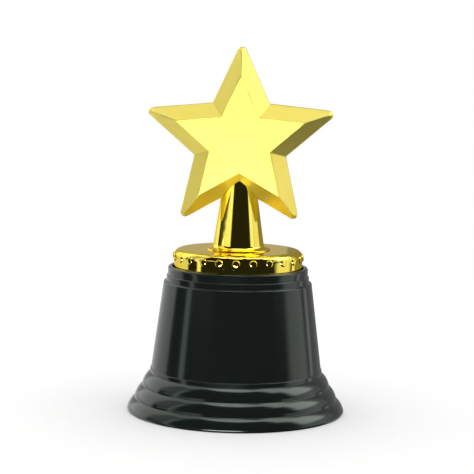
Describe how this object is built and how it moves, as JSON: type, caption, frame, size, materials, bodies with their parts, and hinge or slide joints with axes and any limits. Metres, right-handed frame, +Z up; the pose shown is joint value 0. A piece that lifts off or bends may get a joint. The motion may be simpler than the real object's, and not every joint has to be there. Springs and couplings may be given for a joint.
{
  "type": "star trophy",
  "caption": "Small award trophy: a thick beveled five-pointed star on a short tapered stem and a beaded gold disc, bolted into a hollow black bell-shaped base.",
  "frame": {"origin": "centre of the base's flat resting rim, on the surface that the trophy stands on", "axes": "+Z up through the stem and the star's top tip, -Y out of the star's front face, +X to the viewer's right"},
  "size_m": [0.068, 0.068, 0.1133],
  "materials": {
    "satin_gold": "moulded plastic with a satin gold metallised coat",
    "mirror_gold": "moulded plastic with a mirror-bright gold vacuum-metallised coat",
    "black_plastic": "semi-gloss black injection-moulded polystyrene",
    "zinc_steel": "bright zinc plate"
  },
  "bodies": {
    "root": {"star_front_shell": "satin_gold", "star_back_shell": "satin_gold", "stem": "mirror_gold", "collar_disc": "mirror_gold", "base_shell": "black_plastic", "topper_stud": "zinc_steel", "stud_washer": "zinc_steel", "stud_nut": "zinc_steel"}
  },
  "joints": []
}
